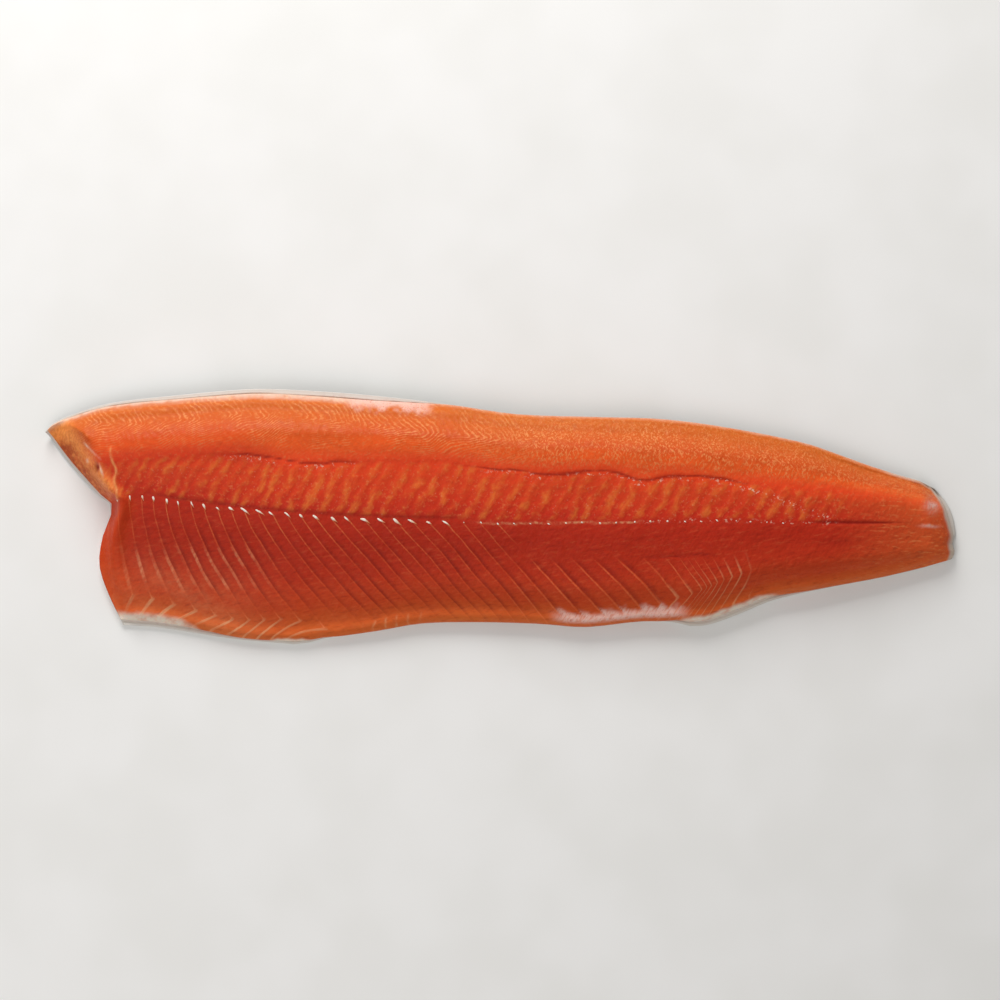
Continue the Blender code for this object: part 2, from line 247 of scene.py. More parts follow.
def levelMiddle(heights):
    # index range of the inner block of a lower sheet that is level, found by drawing its edges in
    level = np.abs(heights - np.median(heights)) < 0.02  # millimetres
    rows, columns = level.shape
    i0, i1, j0, j1 = 2, rows - 3, 2, columns - 3
    while i1 - i0 > 4 and j1 - j0 > 4:
        edges = {"i0": level[i0, j0:j1 + 1], "i1": level[i1, j0:j1 + 1],
                 "j0": level[i0:i1 + 1, j0], "j1": level[i0:i1 + 1, j1]}
        worst = min(edges, key=lambda side: edges[side].mean())
        if edges[worst].all():
            return i0, i1, j0, j1
        i0, i1 = i0 + (worst == "i0"), i1 - (worst == "i1")
        j0, j1 = j0 + (worst == "j0"), j1 - (worst == "j1")
    return None


def store(mesh, key, values):
    # keeps one value on each point of a mesh
    layer = mesh.attributes.new(key, "FLOAT", "POINT")
    layer.data.foreach_set("value", values.astype(np.float32))


def closedBody(name, top, bottom, fields):
    # two grids of points joined round their edge; the level middle of the lower one is a single face
    rows, columns = top.shape[:2]
    count = rows * columns
    index = np.arange(count).reshape(rows, columns)
    a, b, c, d = index[:-1, :-1], index[1:, :-1], index[1:, 1:], index[:-1, 1:]
    upper = np.stack([a, b, c, d], -1).reshape(-1, 4)
    keep = np.ones(a.shape, bool)
    block = levelMiddle(bottom[..., 2])
    cap = []
    if block:
        i0, i1, j0, j1 = block
        keep[i0:i1, j0:j1] = False
        bottom[i0:i1 + 1, j0:j1 + 1, 2] = np.median(bottom[..., 2])
        cap = np.concatenate([index[i0, j0:j1], index[i0:i1, j1], index[i1, j1:j0:-1], index[i1:i0:-1, j0]])
        cap = [(cap + count).tolist()]
    lower = np.stack([d, c, b, a], -1)[keep] + count
    ring = np.concatenate([index[:-1, 0], index[-1, :-1], index[:0:-1, -1], index[0, :0:-1]])
    after = np.roll(ring, -1)
    wall = np.stack([ring, ring + count, after + count, after], -1)
    faces = np.concatenate([upper, lower, wall]).tolist() + cap
    points = np.concatenate([top.reshape(-1, 3), bottom.reshape(-1, 3)]) * mm
    mesh = bpy.data.meshes.new(name)
    mesh.from_pydata(points.tolist(), [], faces)
    for key, values in fields.items():
        values = np.broadcast_to(values, (rows, columns)).ravel()
        store(mesh, key, np.concatenate([values, values]))
    store(mesh, "under", np.repeat([0.0, 1.0], count))
    bm = bmesh.new()
    bm.from_mesh(mesh)
    bmesh.ops.delete(bm, geom=[v for v in bm.verts if not v.link_faces], context="VERTS")
    bmesh.ops.triangulate(bm, faces=[f for f in bm.faces if len(f.verts) > 4])
    bm.to_mesh(mesh)
    bm.free()
    mesh.shade_smooth()
    piece = bpy.data.objects.new(name, mesh)
    bpy.context.scene.collection.objects.link(piece)
    return piece


def sheetsOver(node, look):
    # plan grid of a solid, with the heights of its upper and lower surfaces
    across = graded(look["across"], *look["edge"])
    grid = planGrid(planSides(node), np.linspace(0, 1, look["along"]), across)
    inside = grid.copy()
    pull = 0.04  # millimetres that the outermost points are drawn in, so that each ray meets the solid
    for edge, inner in ((np.s_[0], np.s_[1]), (np.s_[-1], np.s_[-2]), (np.s_[:, 0], np.s_[:, 1]),
                        (np.s_[:, -1], np.s_[:, -2])):
        way = inside[inner] - inside[edge]
        inside[edge] += pull * way / np.maximum(np.linalg.norm(way, axis=-1, keepdims=True), 1e-9)
    bm = bmesh.new()
    bm.from_mesh(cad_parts[node].data)
    bmesh.ops.remove_doubles(bm, verts=bm.verts[:], dist=1e-6)
    tree = BVHTree.FromBMesh(bm)
    bm.free()
    return grid, castHeights(tree, inside, -1), castHeights(tree, inside, 1)


def linearColour(code):
    # sRGB hex to the linear colour that the shader works in
    parts = [int(code[i:i + 2], 16) / 255 for i in (1, 3, 5)]
    return (*(c / 12.92 if c <= 0.04045 else ((c + 0.055) / 1.055) ** 2.4 for c in parts), 1.0)


def addNode(tree, kind, inputs=(), out=0, stops=(), **settings):
    # one node with its settings and links, which gives the output asked for; inputs are sockets, numbers
    # or hex colours, by place or by name; stops are (place, hex) along a colour ramp
    node = tree.nodes.new("ShaderNode" + kind)
    for key, value in settings.items():
        setattr(node, key, value)
    for number, (place, code) in enumerate(stops):
        band = node.color_ramp.elements
        stop = band[number] if number < 2 else band.new(place)
        stop.position, stop.color = place, linearColour(code)
    for key, value in inputs.items() if isinstance(inputs, dict) else enumerate(inputs):
        if isinstance(value, bpy.types.NodeSocket):
            tree.links.new(value, node.inputs[key])
        else:
            node.inputs[key].default_value = linearColour(value) if isinstance(value, str) else value
    return node.outputs[out]


def newMaterial(name):
    material = bpy.data.materials.new(name)
    material.use_nodes = True
    tree = material.node_tree
    return material, tree, tree.nodes["Principled BSDF"]


def storedOn(piece, tree):
    # the values kept on the points of a mesh, by name
    names = [a.name for a in piece.data.attributes if a.domain == "POINT" and a.data_type == "FLOAT"]
    return {name: addNode(tree, "Attribute", out="Fac", attribute_name=name) for name in names}


def shareOf(tree, *parts):
    # the product of its parts: sockets, numbers, or (socket, low, high, from, to), which climbs from
    # one value to the other
    share = None
    for part in parts:
        if isinstance(part, tuple):
            part = addNode(tree, "MapRange", part, interpolation_type="SMOOTHSTEP")
        share = part if share is None else addNode(tree, "Math", (share, part), operation="MULTIPLY")
    return share


def layOver(tree, colour, code, *parts):
    # lays one colour over another, as far as the product of the parts says
    return addNode(tree, "Mix", {0: shareOf(tree, *parts), 6: colour, 7: code}, 2, data_type="RGBA")


def grain(tree, places, size, detail=2.0, rough=0.55, longer=1.0, lean=0.0):
    # noise whose lumps are about this many millimetres across, drawn out longer along a leaning line
    turned = addNode(tree, "Mapping", {"Vector": places, "Rotation": (0, 0, -math.radians(lean))})
    drawn = addNode(tree, "Mapping", {"Vector": turned, "Scale": (1 / longer, 1, 1)})
    return addNode(tree, "TexNoise", {"Vector": drawn, "Scale": 0.6 / (size * mm), "Detail": detail,
                                      "Roughness": rough})


def lineAt(tree, phase, width, soft):
    # 1 on each whole number of the phase, falling off past the width; both are shares of the spacing
    off = addNode(tree, "Math", (phase, 0.5), operation="PINGPONG")
    return shareOf(tree, (off, width, width + soft, 1.0, 0.0))


def wavering(tree, phase, noise, amount):
    # the phase, pushed back and forth by a noise
    push = addNode(tree, "MapRange", (noise, 0.0, 1.0, -amount / 2, amount / 2))
    return addNode(tree, "Math", (phase, push))


flesh = {
    "along": 600, "across": 124,  # points of the grid
    "edge": (0.28, 0.09),  # the outermost step beside a middle one, and the share of the width it grows over
    # millimetres
    "smoothing": 3.5, "smoothingAcross": 7.0,  # along and across the body
    "shingle": 0.25, "shingleCrown": 0.9,  # height of a flake over the next; its crown is at this share of it
    "chevronPitch": 2.4,  # coarser than the real ones, so that they show
    "streak": 0.1, "chevron": 0.07, "granule": 0.08, "undulation": 0.22, "ridge": 0.35,  # heights
    "boneGroove": 0.22, "tailFurrow": 0.45, "hole": 1.2,  # depths
    "toSkin": 0.3,  # how far the edge is drawn out to the skin
    "inland": (-150, 158, 8),  # the stretch that is evened, away from the two cuts
    # where along the body each trait shows: from, to, and how far it takes to fade outside them
    "reach": {
        "flank": (-148, 150, 8), "plainStrip": (8, 96, 10), "clearSeams": (-112, 40, 30),
        "ventSeams": (62, 90, 8), "foldedLines": (-140, -60, 10), "ventLines": (66, 84, 6),
        "hooks": (-141, -60, 8), "ventHooks": (62, 90, 6), "strokes": (-141, -92, 8),
        "streaks": (-160, 120, 15), "chevrons": (-150, 0, 18), "deepRed": (-152, -98, 22),
        "headGroove": (-96, -62, 12), "tailGroove": (-2, 84, 12), "groove": (-108, 88, 14),
        "ribGroove": (-122, -24, 14), "furrow": (124, 143, 12), "wideFurrow": (122, 137, 10),
        "crease": (60, 76, 8), "bellyFat": (-150, -124, 18), "bellyBump": (-84, -76, 9),
        "pinkFat": (26, 64, 9), "ventRim": (76, 96, 16), "backFat": (-167, -44, 22),
        "backRim": (-166, -44, 16), "backPatch": (-54, -30, 6), "silverBack": (150, 170, 8),
        "thread": (-4, 48, 8), "edgeStrokes": (-50, -32, 3), "haze": (-150, -104, 30),
        "runDown": (84, 122, 5), "spineGlints": (56, 120, 8), "headChain": (-156, -150, 1),
    },
    # small spots: x, y, and how far each spreads along x and y
    "spots": {
        "hollow": (126, -9.5, 7, 1.5), "hole": (-151.8, 18.6, 1.1, 1.7), "lip": (-149.7, 17.6, 0.4, 1.7),
        "smallGlint": (-155.8, 21.3, 0.5, 0.7), "tailFat": (162.6, 4.6, 2.4, 2.2),
        "tailStreak": (161.5, -3.2, 3.0, 0.6),
    },
}


def near(value, width):
    # 1 at zero, falling away within about this width
    return np.exp(-(value / width) ** 2)


def within(name, x):
    return window(x, *flesh["reach"][name])


def spot(name, x, y, shiftX=0.0, shiftY=0.0):
    placeX, placeY, spreadX, spreadY = flesh["spots"][name]
    return near(x - placeX + shiftX, spreadX) * near(y - placeY + shiftY, spreadY)


def placesOn(x, y):
    # where on the body each point of the grid lies, in millimetres
    spine, bones = spineY(x), bonesY(x)
    bellyEdge, backEdge = np.interp(x, x[:, 0], y[:, 0]), np.interp(x, x[:, -1], y[:, -1])
    below, above = spine - y, y - bones
    # -1 at the belly edge, 0 on the spine line, 1 on the bone line and 2 at the back edge
    zone = np.where(y < bones, -below / (bones - spine), 1 + above / np.maximum(backEdge - bones, 1))
    zone = np.where(y < spine, -below / np.maximum(spine - bellyEdge, 1), zone)
    return SimpleNamespace(
        x=x, y=y, below=below, above=above, zone=zone, pastFold=foldY(x) - y,
        fromBelly=y - bellyEdge, fromBack=backEdge - y,
        fromHead=x - x.min(axis=0, keepdims=True), fromTail=x.max(axis=0, keepdims=True) - x,
        uneven=0.9 * lumps(x, y, 3.2, 16) + 0.6 * lumps(x, y, 1.3, 23))  # how edges of fat and cuts stray


def seamFields(at):
    # the seams between the flakes of the flank, and how clearly they show from place to place
    x, y, below = at.x, at.y, at.below
    wander = 0.5 * lumps(x, y, 13, 11) + 0.12 * lumps(x, y, 5, 12)  # millimetres that the lines stray by
    flank = smooth(0.0, 1.5, below) * within("flank", x)
    plain = within("plainStrip", x) * window(below, -2, 13, 5)  # beside the spine, few seams show
    strength = 0.45 + 0.55 * within("clearSeams", x)
    strength = strength * (1 - 0.45 * smooth(26, 44, below)) * (1 - smooth(84, 104, x))
    strength = strength * (1 - 0.4 * within("ventSeams", x)) * (0.8 + 0.35 * lumps(x, y, 9, 28))
    seamShare = flank * (1 - 0.9 * plain) * strength
    # the pale lines fade downwards, and come back past the fold and by the vent
    fading = np.maximum(np.exp(-below / 14), smooth(-4, 1, at.pastFold) * within("foldedLines", x))
    fading = np.maximum(fading, (0.55 + 0.25 * within("ventLines", x)) * smooth(-10, 15, x))
    paleLine = flank * (1 - 0.95 * plain) * fading * (1 - smooth(84, 100, x))
    hook = within("hooks", x) * smooth(-1.5, 1.5, at.pastFold)
    hook = hook + 0.55 * within("ventHooks", x) * smooth(-9, -1, at.pastFold)
    strokes = within("strokes", x) * window(y, -24, -14, 5)
    edgeStroke = within("edgeStrokes", x) * (1 - smooth(3.5, 5.0, at.fromBelly))
    return {
        "seam": seamCount(seamOrigin(x + wander, y)), "seamShare": seamShare,
        "paleLine": paleLine * (0.85 + 0.5 * lumps(x, y, 6, 35)),
        # painted shade on the slope beside each seam
        "paintedSeamShade": seamShare * smooth(3, 14, below) * (1 - 0.8 * smooth(30, 38, below)),
        "strokes": strokes * (0.65 + 0.7 * lumps(x, y, 5, 36)),
        "hook": hook * (0.8 + 0.6 * lumps(x, y, 4, 39)),
        "edgeStroke": edgeStroke * near(np.sin(x * 0.72 + 0.5 * lumps(x, y, 3, 42)), 0.25),
    }


def loinFields(at):
    # streaks between the spine and the bone line, then the chevrons and the fine pale strokes of the loin,
    # partly its grain and partly painted sparkle
    x, y = at.x, at.y
    over = y - crestY(x) + 1.6 * lumps(x, y, 9, 29)
    loin = np.where(over > 0, x + over, x - 2.4 * over)
    frost = smooth(0.5, 5, at.above) * smooth(-25, 15, x) * (1 - 0.4 * smooth(8, 2, at.fromBack))
    bandShare = smooth(0.3, 1.8, -at.below) * (1 - smooth(-1.5, 0.3, at.above))
    return {
        "band": seamCount(x + 0.55 * at.below + 1.3 * lumps(x, y, 6, 13) + 0.6 * lumps(x, y, 2.5, 14)),
        "bandShare": bandShare * within("streaks", x),
        "loin": (loin + 2.4 * lumps(x, y, 10, 37) + 0.5 * lumps(x, y, 2.5, 12)) / flesh["chevronPitch"],
        "loinShare": smooth(1.0, 4.0, at.above) * within("chevrons", x),
        "frost": frost * (0.85 + 0.4 * lumps(x, y, 8, 41)),
        # painted shade where the loin slopes down into the bone groove by the head
        "deepRed": within("deepRed", x) * window(at.above, -1, 6, 4),
    }


def grooveFields(at):
    # the bone line, the groove above the rib ends, the tail furrow and a crease by the vent, darkened with
    # painted shade, and the painted glints along their lower rims
    x, y, below, above = at.x, at.y, at.below, at.above
    wave = 0.9 * np.sin(x / 5.3 + 1.5 * lumps(x, 0 * x, 14, 21)) + 0.5 * lumps(x, y, 3.5, 15)
    deep = np.maximum(within("headGroove", x), within("tailGroove", x))
    groove = near(above - 0.5 * wave, 0.5 + 0.3 * lumps(x, 0 * x, 9, 22))
    groove = groove * (0.2 + 0.8 * deep) * within("groove", x)
    ribGroove = 0.85 * within("ribGroove", x) * near(1.2 + below, 0.7)
    furrow = within("furrow", x) * near(0.3 + below, 0.25 + 0.4 * within("wideFurrow", x))
    crease = 0.6 * within("crease", x) * near(y + 15.0 - 0.03 * (x - 55) - 0.2 * wave, 0.4)
    runDown = within("runDown", x) * near(y - 13.0 + 0.34 * (x - 85) - 0.5 * lumps(x, y, 3, 27), 1.0)
    # painted glints along the groove's lower rim
    glints = deep * near(above + 1.2 - 0.5 * wave, 0.8) * (0.7 + 0.6 * lumps(x, 0 * x, 6, 38))
    glints = np.maximum(glints, runDown)
    return {
        "groove": np.maximum(np.maximum(groove, ribGroove), 0.5 * spot("hollow", x, y)),
        "furrow": np.maximum(furrow, crease),
        "rimGlints": np.maximum(glints, 0.9 * within("spineGlints", x) * near(below, 0.5)),
        "thread": within("thread", x) * near(0.2 - below - 0.25 * lumps(x, y, 2.5, 26), 0.3),
    }


def fatFields(at, seam):
    # pale tissue: fat along the belly, the vent, the back and the tail, and silver lining at the tail cut
    x, y, fromBelly, fromBack, uneven = at.x, at.y, at.fromBelly, at.fromBack, at.uneven
    ragged = uneven + 1.8 * (seam - np.floor(seam) - 0.5)  # the fat reaches further up at each seam
    belly = 1 - smooth(0.6, 3.6, fromBelly + 0.4 * uneven + 5 * (1 - within("bellyFat", x)))
    bump = 1 - smooth(0.2, 1.1, fromBelly + 0.2 * uneven + 2 * (1 - within("bellyBump", x)))
    vent = 1 - smooth(0.9, 2.6, fromBelly + 0.3 * uneven + 3.5 * (1 - within("ventRim", x)))
    back = 1 - smooth(0.2, 2.5, fromBack + 0.25 * uneven + 1.4 * (1 - within("backFat", x)))
    back = back * (0.2 + 0.42 * smooth(-135, -85, x))
    backRim = 0.65 * within("backRim", x) * (1 - smooth(0.3, 1.2, fromBack + 0.2 * uneven))
    pink = within("pinkFat", x) * (1 - smooth(3.8, 6.6, fromBelly + ragged)) * smooth(0.6, 2.2, fromBelly)
    backPatch = within("backPatch", x) * (1 - smooth(1.4, 4.4, fromBack + 1.5 * uneven))
    tail = 0.9 * spot("tailFat", x, y, 0.5 * uneven, 0.8 * uneven)
    tail = np.maximum(tail, 0.7 * spot("tailStreak", x, y, 0.0, 0.4 * uneven))
    silver = 1 - smooth(0.6, 2.6, at.fromTail + 0.6 * lumps(x, y, 3, 20))
    silverBack = 0.6 * within("silverBack", x) * (1 - smooth(0.2, 1.1, fromBack))
    haze = within("haze", x) * smooth(14, 36, at.below)
    return {
        "fat": np.maximum.reduce([back, backRim, vent, belly, bump]),
        "pinkFat": np.maximum.reduce([pink, 0.8 * backPatch, tail]),
        "silver": np.maximum(silver, silverBack),
        "haze": haze * (0.2 + 0.15 * lumps(x, y, 8, 24, 2.6, -38)),
    }


def headFields(at):
    # the slanted cut at the head end: painted light on its upper and lower parts, a darker red edge, the
    # ridge with a painted highlight, the hole with painted shade, and painted glints
    x, y = at.x, at.y
    ridge = near(x + 144.5 + 1.8 * smooth(18, 25, y) - 0.7 * lumps(0 * x, y, 3.5, 25), 0.45)
    lip = spot("lip", x, y, 0.25 * (y - flesh["spots"]["lip"][1]))
    chain = near(y - 22.4 + 0.9 * (x + 150.5), 0.45) * within("headChain", x)
    chain = 0.8 * chain * (0.5 + 0.7 * lumps(x, y, 1.4, 43))
    return {
        # the cut faces away from the lights, so its own peach and orange are brightened with painted light
        "collar": (1 - smooth(5, 11, at.fromHead)) * smooth(-2, 8, -at.below),
        "cutFace": (1 - smooth(1.0, 6.5, at.fromHead + 0.6 * at.uneven)) * window(y, 9, 27, 4),
        "paintedHeadLight": (1 - smooth(2, 16, at.fromHead)) * (1 - smooth(-4, 4, -at.below)),
        "ridge": ridge * window(y, 7.5, 25, 2),
        "hole": spot("hole", x, y),
        # painted glints on the lip, a small spot and a chain by the hole
        "headGlints": np.clip(np.maximum.reduce([lip, 0.8 * spot("smallGlint", x, y), chain]), 0, 1),
    }


def fleshFields(at):
    # how much of each tissue and mark there is at each point of the grid
    fields = {"zone": at.zone / 3 + 1 / 3, "along": at.x / 350 + 0.5}  # both from 0 to 1
    fields |= seamFields(at)
    fields |= loinFields(at)
    fields |= grooveFields(at)
    fields |= fatFields(at, fields["seam"])
    fields |= headFields(at)
    # painted glints on the streaks and along the ridge of the head cut
    fields["glints"] = np.maximum(0.2 * fields["bandShare"], 0.7 * fields["ridge"])
    return fields


def reliefOf(at, fields):
    # millimetres that the surface rises or falls by; each flake climbs to its crown, then drops to the next
    x, y = at.x, at.y
    share = fields["seam"] - np.floor(fields["seam"])
    crown = flesh["shingleCrown"]
    saw = np.where(share < crown, share / crown, (1 - share) / (1 - crown))
    relief = flesh["shingle"] * (saw - 0.75) * fields["seamShare"]
    relief = relief - flesh["boneGroove"] * fields["groove"] - flesh["tailFurrow"] * fields["furrow"]
    relief = relief + flesh["streak"] * np.cos(2 * np.pi * fields["band"]) * fields["bandShare"]
    relief = relief + flesh["chevron"] * np.cos(2 * np.pi * fields["loin"]) * fields["loinShare"]
    relief = relief + flesh["granule"] * (lumps(x, y, 1.5, 31) + 0.6 * lumps(x, y, 0.9, 32))
    relief = relief + flesh["undulation"] * (lumps(x, y, 15, 33) + 0.5 * lumps(x, y, 7, 34, 1.6, 40))
    return relief + flesh["ridge"] * fields["ridge"] - flesh["hole"] * fields["hole"]


def buildFlesh():
    grid, top, bottom = sheetsOver("flesh", flesh)
    x, y = grid[..., 0], grid[..., 1]
    at = placesOn(x, y)
    offEdge = np.minimum(at.fromBelly, at.fromBack)
    # the cast heights are evened along the body, then across it
    places = np.linspace(*bodyEnds, len(x))[:, None]
    inland = window(x, *flesh["inland"])
    top = top + inland * (evened(top, places, flesh["smoothing"]) - top)
    across = evened(top.T, y.mean(axis=0)[:, None], flesh["smoothingAcross"]).T
    top = top + inland * smooth(1.0, 6, offEdge) * (across - top)
    fields = fleshFields(at)
    inner = smooth(0.2, 3, offEdge) * smooth(0, 4, at.fromHead) * smooth(0, 4, at.fromTail)
    points = np.dstack([x, y, top])
    points = points + (reliefOf(at, fields) * inner)[..., None] * gridNormals(points)
    points[..., 1] += flesh["toSkin"] * (1 - smooth(0.0, 1.2, offEdge)) * np.where(y > 0, 1, -1)
    points[..., 0] += flesh["toSkin"] * (1 - smooth(0.0, 1.2, at.fromTail))
    points[..., 2] = np.clip(points[..., 2], bottom + 0.05, cadBox[1].z / mm - 0.02)
    under = np.dstack([points[..., 0], points[..., 1], bottom])
    fields.pop("seamShare")  # only the relief needs it
    return closedBody("fleshDetail", points, under, fields)


muscle = {
    # the body colour, from the belly edge over the spine and the bone line to the back edge
    # dark red below the spine line: partly the muscle's own colour, partly painted shade; bright stops at the
    # bone line: painted light over its groove
    "zones": [(0.0, "#da682a"), (0.08, "#ca451a"), (0.17, "#bb3013"), (0.28, "#bd2a12"), (0.38, "#cc2f17"),
              (0.56, "#d8401c"), (0.66, "#fa4a20"), (0.70, "#ff5624"), (0.75, "#fa6022"), (0.81, "#d25018"),
              (0.88, "#d05a1c"), (1.0, "#d2681f")],
    "tail": "#e0672e", "dark": "#7c150c", "seam": "#ea7a48", "streak": "#f08838", "frost": "#f2a060",
    "groove": "#94140a", "collar": "#ff9c4e", "orange": "#d84c14", "pale": "#eaa878", "glint": "#ffdcc0",
    "stroke": "#dd8e66", "fat": "#efe2d0", "pinkFat": "#efbfb0", "fatStreak": "#c04c28", "silver": "#cfc6b6",
    "roughness": (0.5, 0.64), "bump": 0.25,  # millimetres of bump
    # millimetres across the grain of each kind; muscle fibres are about 0.1 mm, and the fibre, the wisps
    # and the strokes are drawn coarser than that so that they show
    "grains": {"broad": 14, "patches": 5.5, "fine": 2.2, "glintGrain": 0.85, "speck": 0.8, "wisp": 0.7,
               "fibre": 0.6, "tailFibre": 0.5, "stroke": 0.42},
    "glintDots": 1.25,  # millimetres from one painted glint to the next; each is about 0.4 across
    "fibreLean": 58, "wispLean": 12, "strokeLeans": (64, 112), "tailLean": -4,  # degrees
}


def rawMuscle(piece):
    # raw char muscle, cut with a wet blade: deep red-orange flakes under a thin gloss of moisture
    material, tree, shader = newMaterial("rawCharMuscle")
    at = storedOn(piece, tree)
    places = addNode(tree, "TexCoord", out="Object")
    size = muscle["grains"]
    broad, patches = grain(tree, places, size["broad"]), grain(tree, places, size["patches"], 3, 0.6)
    fine, speck = grain(tree, places, size["fine"], 3, 0.6), grain(tree, places, size["speck"], 2, 0.6)
    fibre = grain(tree, places, size["fibre"], 2, 0.6, 4, muscle["fibreLean"])
    tailFibre = grain(tree, places, size["tailFibre"], 2, 0.6, 7, muscle["tailLean"])
    wisp = grain(tree, places, size["wisp"], 3, 0.65, 4, muscle["wispLean"])
    glintGrain = grain(tree, places, size["glintGrain"], 3, 0.65)
    strokes = [grain(tree, places, size["stroke"], 2, 0.6, 3, lean) for lean in muscle["strokeLeans"]]
    stroke = addNode(tree, "Math", strokes, operation="MAXIMUM")
    colour = addNode(tree, "ValToRGB", (wavering(tree, at["zone"], broad, 0.05),), stops=muscle["zones"])

    # the seams between flakes: a fine pale line of connective tissue, and painted shade on the slope beside
    # it
    seam = wavering(tree, at["seam"], fine, 0.07)
    turn = addNode(tree, "Math", (seam,), operation="FRACT")
    line = lineAt(tree, addNode(tree, "Math", (seam, 0.06)), 0.012, 0.06)
    line = shareOf(tree, line, (speck, 0.3, 0.6, 0.45, 1.0))
    wide = lineAt(tree, addNode(tree, "Math", (seam, 0.1)), 0.05, 0.11)
    # soft streaks between the spine and the bone line, and the fine chevrons of the loin
    band = lineAt(tree, wavering(tree, at["band"], fine, 0.8), 0.04, 0.36)
    loin = lineAt(tree, wavering(tree, at["loin"], fine, 1.5), 0.05, 0.26)
    glintDots = addNode(tree, "TexVoronoi", {"Vector": places, "Scale": 1 / (muscle["glintDots"] * mm)}, "Distance")
    coats = (
        # colour, then what its share is the product of
        ("tail", (at["along"], 0.84, 0.99, 0, 0.6)),
        ("dark", (fine, 0.45, 0.2, 0, 0.14)),
        ("frost", (speck, 0.52, 0.8, 0, 0.3), (at["zone"], 0.3, 0.4)),
        ("seam", (wisp, 0.52, 0.72, 0, 0.16), (at["zone"], 0.36, 0.3)),
        ("dark", (wisp, 0.48, 0.3, 0, 0.25), (at["zone"], 0.36, 0.3)),
        # painted shade on the low slope just past each seam
        ("dark", (turn, 0.42, 0.05), (turn, 0.0, 0.04), at["paintedSeamShade"], 0.55),
        ("seam", line, at["paleLine"], 0.85),
        ("stroke", wide, (fibre, 0.35, 0.6, 0.4, 1), at["strokes"], 0.6),
        ("pale", lineAt(tree, seam, 0.03, 0.12), at["hook"], 0.6),
        ("streak", band, (fibre, 0.3, 0.6, 0.45, 1), (patches, 0.4, 0.6, 0.15, 1), at["bandShare"], 0.46),
        ("frost", loin, (speck, 0.3, 0.6, 0.25, 1), (patches, 0.4, 0.62, 0.12, 1), at["loinShare"], 0.5),
        # fine pale strokes: partly the loin's grain, partly painted sparkle of wet flesh
        ("frost", (stroke, 0.54, 0.66), at["frost"], 0.55),
        ("frost", (tailFibre, 0.54, 0.72), (at["along"], 0.86, 0.93, 0, 0.3)),
        # painted shade: darker red above the bone line by the head, in the grooves and a hollow, and in the
        # furrow and crease
        ("groove", at["deepRed"], 0.28),
        ("groove", at["groove"], 0.72),
        ("groove", at["furrow"], 0.85),
        # painted light: the cut's own peach and orange, brightened where it faces away from the lights
        ("collar", at["collar"], (fibre, 0.4, 0.6, 0.6, 1)),
        ("groove", at["cutFace"], (fine, 0.35, 0.65, 0.35, 0.75)),
        ("orange", at["paintedHeadLight"], 0.55),
        # painted highlight along the ridge of the head cut
        ("frost", at["ridge"], (fine, 0.35, 0.6, 0.4, 0.9)),
        ("pale", at["thread"], (speck, 0.35, 0.65, 0.1, 0.7)),
        # painted shade in the hole
        ("groove", at["hole"]),
        ("pale", at["haze"], (fine, 0.3, 0.65, 0.15, 0.5)),
        ("pale", at["edgeStroke"], (fine, 0.35, 0.6, 0.1, 0.5)),
        # fat and lining, with red flesh showing through in streaks
        ("fat", at["fat"], (fine, 0.3, 0.55, 0.6, 1), 0.92),
        ("pinkFat", at["pinkFat"], (fibre, 0.3, 0.55, 0.45, 1)),
        ("fatStreak", at["pinkFat"], (fibre, 0.56, 0.7, 0, 0.6)),
        ("silver", at["silver"], 0.85),
        # painted glints: pale specks that stand in for light caught on the wet flesh
        ("glint", at["headGlints"], 0.9),
        ("glint", (glintDots, 0.1, 0.26, 0.6, 0), (fibre, 0.5, 0.6), at["glints"]),
        ("glint", (glintGrain, 0.56, 0.64), at["rimGlints"], 0.7),
    )
    for name, *parts in coats:
        colour = layOver(tree, colour, muscle[name], *parts)
    height = addNode(tree, "Math", (shareOf(tree, line, at["paleLine"], 0.5), speck))
    height = addNode(tree, "Math", (fibre, 0.8, height), operation="MULTIPLY_ADD")
    bump = addNode(tree, "Bump", {"Height": height, "Strength": 0.75, "Distance": muscle["bump"] * mm})
    tree.links.new(colour, shader.inputs["Base Color"])
    tree.links.new(shareOf(tree, (fine, 0.3, 0.7, *muscle["roughness"])), shader.inputs["Roughness"])
    tree.links.new(bump, shader.inputs["Normal"])
    tree.links.new(bump, shader.inputs["Coat Normal"])
    # water at 1.33 lies over flesh at about 1.38
    for name, value in {"IOR": 1.38, "Specular IOR Level": 0.2, "Coat Weight": 0.08, "Coat Roughness": 0.2,
                        "Coat IOR": 1.33, "Subsurface Weight": 0.15, "Subsurface Radius": (1.0, 0.35, 0.2),
                        "Subsurface Scale": 1.5 * mm}.items():
        shader.inputs[name].default_value = value
    return material


skin = {
    "along": 320, "across": 110,  # points of the grid
    "edge": (0.2, 0.12),  # the outermost step beside a middle one, and the share of the width it grows over
    "closer": 0.27,  # millimetres that the inside is drawn up to the flesh
    "scale": 1.6, "spots": 9.0,  # millimetres across a scale, and between the pale spots of the back
    "outside": [(0.0, "#e6e2d8"), (0.3, "#e6e2d8"), (0.6, "#a9adaa"), (0.85, "#4a4d42")],
    "spot": "#c9c7b2", "shine": "#ffffff", "inside": "#e8d8cc", "bloom": "#c04c28", "rim": "#ded8cf",
    "roughness": (0.28, 0.45), "bump": 0.15, "grains": {"fine": 1.5, "broad": 12},  # millimetres
}


